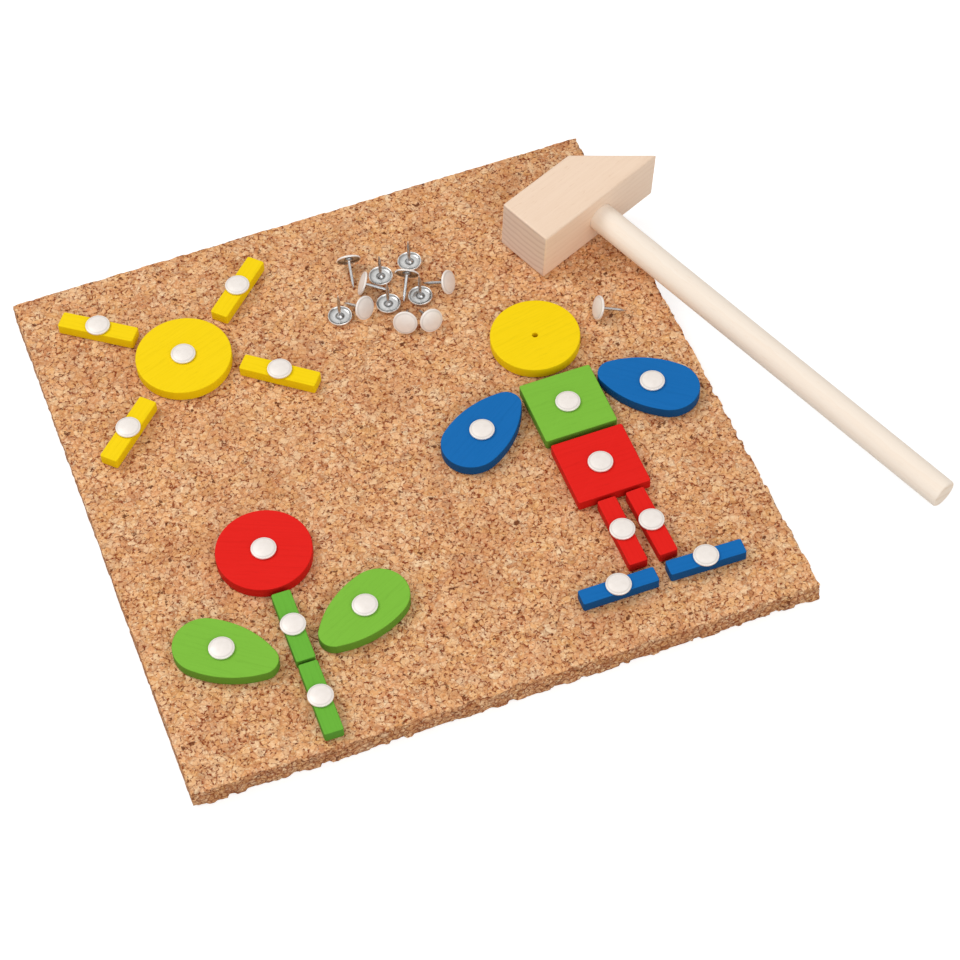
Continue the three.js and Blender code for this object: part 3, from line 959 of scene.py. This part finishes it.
def cork_slab():
    """A closed box of small faces in the board's place, as points and faces."""
    low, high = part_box("cork_board")
    count = round((high.x - low.x) / CORK_STEP)
    xs = np.linspace(low.x, high.x, count + 1)
    ys = np.linspace(low.y, high.y, count + 1)
    zs = np.linspace(high.z, low.z, CORK_ROWS)
    index = {}
    points = []

    def at(i, j, k):
        key = (i, j, k)
        if key not in index:
            index[key] = len(points)
            points.append((xs[i], ys[j], zs[k]))
        return index[key]

    faces = []
    last = CORK_ROWS - 1
    for i in range(count):
        for j in range(count):
            faces.append((at(i, j, 0), at(i + 1, j, 0), at(i + 1, j + 1, 0), at(i, j + 1, 0)))
            faces.append(
                (at(i, j, last), at(i, j + 1, last), at(i + 1, j + 1, last), at(i + 1, j, last))
            )
    for k in range(last):
        for i in range(count):
            faces.append((at(i, 0, k), at(i, 0, k + 1), at(i + 1, 0, k + 1), at(i + 1, 0, k)))
            faces.append(
                (at(i, count, k), at(i + 1, count, k), at(i + 1, count, k + 1), at(i, count, k + 1))
            )
        for j in range(count):
            faces.append((at(0, j, k), at(0, j + 1, k), at(0, j + 1, k + 1), at(0, j, k + 1)))
            faces.append(
                (at(count, j, k), at(count, j, k + 1), at(count, j + 1, k + 1), at(count, j + 1, k))
            )
    points = np.array(points)
    return points, faces, low, high


def roughened(points, low, high):
    """Granular relief on the broad faces, and cut or crumbled sides."""
    moved = points.copy()
    numbers, border = granules(points, GRANULE, GRANULE_SEED)
    crease = np.clip(1 - border / CREASE_WIDTH, 0, 1)
    sunk = GRANULE_SINK * numbers[:, 0] + CREASE_SINK * crease
    pit = (numbers[:, 1] > PIT_FROM) * np.clip(border / PIT_SLOPE, 0, 1)
    sunk = sunk + PIT_SINK * pit
    on_top = points[:, 2] > high.z - NEAR
    on_base = points[:, 2] < low.z + NEAR
    moved[on_top, 2] -= sunk[on_top]
    moved[on_base, 2] += sunk[on_base] * BASE_RELIEF
    chunk = granules(points, CHUNK, CHUNK_SEED)[0]
    fine = granules(points, FINE_CHUNK, FINE_SEED)[0]
    near_edge = np.maximum(
        np.clip(1 - (high.z - points[:, 2]) / CRUMBLE_REACH, 0, 1),
        np.clip(1 - (points[:, 2] - low.z) / CRUMBLE_REACH, 0, 1),
    )
    torn = TORN_FINE * fine[:, 0] + TORN_CHUNK * (chunk[:, 0] > TORN_FROM) * chunk[:, 1]
    torn = torn + TORN_EDGE * (chunk[:, 2] > TORN_FROM) * near_edge
    cut = CUT_FINE * fine[:, 0] + CUT_CHUNK * (chunk[:, 0] > CUT_FROM)
    from_left = np.clip(1 - (points[:, 0] - low.x) / SIDE_REACH, 0, 1)
    from_right = np.clip(1 - (high.x - points[:, 0]) / SIDE_REACH, 0, 1)
    from_front = np.clip(1 - (points[:, 1] - low.y) / SIDE_REACH, 0, 1)
    from_back = np.clip(1 - (high.y - points[:, 1]) / SIDE_REACH, 0, 1)
    torn = torn - TORN_PROUD
    moved[:, 0] += cut * from_left - torn * from_right
    moved[:, 1] += torn * from_front - cut * from_back
    arris = np.maximum.reduce(
        [
            from_left**ARRIS_POWER * CUT_ARRIS,
            from_right**ARRIS_POWER,
            from_front**ARRIS_POWER,
            from_back**ARRIS_POWER * CUT_ARRIS,
        ]
    )
    moved[:, 2] -= on_top * ARRIS_DROP * arris
    return moved


cork_points, cork_faces, cork_low, cork_high = cork_slab()
cork_points = roughened(cork_points, cork_low, cork_high)
blank = new_piece("cork_blank", cork_points, cork_faces, cork)
drills = bmesh.new()
for node in pinned_tacks:
    tip = tack_ends(node)[0]
    depth = cork_high.z - tip.z + PIN_HOLE_ROOM * 2
    place = Matrix.Translation((tip.x, tip.y, cork_high.z + PIN_HOLE_ROOM - depth / 2))
    bmesh.ops.create_cone(
        drills,
        cap_ends=True,
        segments=PIN_HOLE_SIDES,
        radius1=TACK_SHANK_RADIUS + PIN_HOLE_ROOM,
        radius2=TACK_SHANK_RADIUS + PIN_HOLE_ROOM,
        depth=depth,
        matrix=place,
    )
drill_mesh = bpy.data.meshes.new("pin_holes")
drills.to_mesh(drill_mesh)
drills.free()
drill_mesh.materials.append(cork)
drill = bpy.data.objects.new("pin_holes", drill_mesh)
bpy.context.scene.collection.objects.link(drill)
slab_mesh = carved(blank.data, drill, "cork_board_slab")
bpy.data.objects.remove(blank)
slab_mesh.set_sharp_from_angle(angle=math.radians(CORK_CREASE))
board = bpy.data.objects.new("cork_board_slab", slab_mesh)
bpy.context.scene.collection.objects.link(board)
fit(board, "cork_board", "board")


# stage, light and camera
def seen_rays(tree):
    """1 for rays from the camera, off gloss or through glass, and 0 for light on the object."""
    rays = tree.nodes.new("ShaderNodeLightPath")
    seen = rays.outputs["Is Camera Ray"]
    for kind in ("Is Glossy Ray", "Is Transmission Ray"):
        either = tree.nodes.new("ShaderNodeMath")
        either.operation = "MAXIMUM"
        tree.links.new(seen, either.inputs[0])
        tree.links.new(rays.outputs[kind], either.inputs[1])
        seen = either.outputs[0]
    return seen


def floor_material():
    """A matt floor that keeps the shadows and is close to white where it is seen."""
    n = Nodes("studio_floor")
    n.tree.nodes.remove(n.shader)
    plain = n.add("ShaderNodeBsdfDiffuse")
    plain.inputs["Color"].default_value = FLOOR_COLOUR
    glow = n.add("ShaderNodeEmission")
    n.link(n.math("MULTIPLY", seen_rays(n.tree), FLOOR_GLOW), glow.inputs["Strength"])
    both = n.add("ShaderNodeAddShader")
    n.link(plain.outputs[0], both.inputs[0])
    n.link(glow.outputs[0], both.inputs[1])
    n.link(both.outputs[0], n.out.inputs["Surface"])
    return n.material


floor_mesh = bpy.data.meshes.new("studio_floor")
half = FLOOR_SIZE / 2
floor_mesh.from_pydata(
    [(-half, -half, 0), (half, -half, 0), (half, half, 0), (-half, half, 0)], [], [(0, 1, 2, 3)]
)
floor_mesh.materials.append(floor_material())
floor = bpy.data.objects.new("studio_floor", floor_mesh)
bpy.context.scene.collection.objects.link(floor)
floor.location.z = min(cad_low.z, 0.0) - FLOOR_DROP

world = bpy.data.worlds.new("studio")
world.use_nodes = True
tree = world.node_tree
tree.nodes.clear()
world_out = tree.nodes.new("ShaderNodeOutputWorld")
lamp_part = tree.nodes.new("ShaderNodeBackground")
lamp_part.inputs["Color"].default_value = WHITE
lamp_part.inputs["Strength"].default_value = WORLD_LIGHT
seen_part = tree.nodes.new("ShaderNodeBackground")
seen_part.inputs["Color"].default_value = WHITE
seen_part.inputs["Strength"].default_value = 1.0
chosen = tree.nodes.new("ShaderNodeMixShader")
tree.links.new(seen_rays(tree), chosen.inputs["Fac"])
tree.links.new(lamp_part.outputs[0], chosen.inputs[1])
tree.links.new(seen_part.outputs[0], chosen.inputs[2])
tree.links.new(chosen.outputs[0], world_out.inputs["Surface"])
bpy.context.scene.world = world


def area_light(name, place, size, power):
    """A round lamp aimed at the middle of the stage."""
    lamp = bpy.data.lights.new(name, "AREA")
    lamp.shape = "DISK"
    lamp.size = size
    lamp.energy = power
    holder = bpy.data.objects.new(name, lamp)
    holder.location = place
    holder.rotation_euler = (-Vector(place)).to_track_quat("-Z", "Y").to_euler()
    bpy.context.scene.collection.objects.link(holder)


for name, lamp in LAMPS.items():
    area_light(name, *lamp)

bearing = math.radians(VIEW_BEARING)
rise = math.radians(VIEW_RISE)
roll = math.radians(VIEW_ROLL)
back = Vector(
    (math.sin(bearing) * math.cos(rise), -math.cos(bearing) * math.cos(rise), math.sin(rise))
)
level = Vector((math.cos(bearing), math.sin(bearing), 0))
over = back.cross(level)
right = level * math.cos(roll) + over * math.sin(roll)
top = over * math.cos(roll) - level * math.sin(roll)
target = Vector((0, 0, cork_high.z))
eye = target + right * VIEW_ASIDE + top * VIEW_UP + back * VIEW_DISTANCE
camera_data = bpy.data.cameras.new("photo_view")
camera_data.sensor_width = SENSOR_MM
camera_data.lens = FOCAL_PIXELS * SENSOR_MM / IMAGE_PIXELS
camera = bpy.data.objects.new("photo_view", camera_data)
axes = Matrix((right, top, back)).transposed().to_4x4()
camera.matrix_world = Matrix.Translation(eye) @ axes
bpy.context.scene.collection.objects.link(camera)
bpy.context.scene.camera = camera
bpy.context.scene.view_settings.view_transform = "Standard"
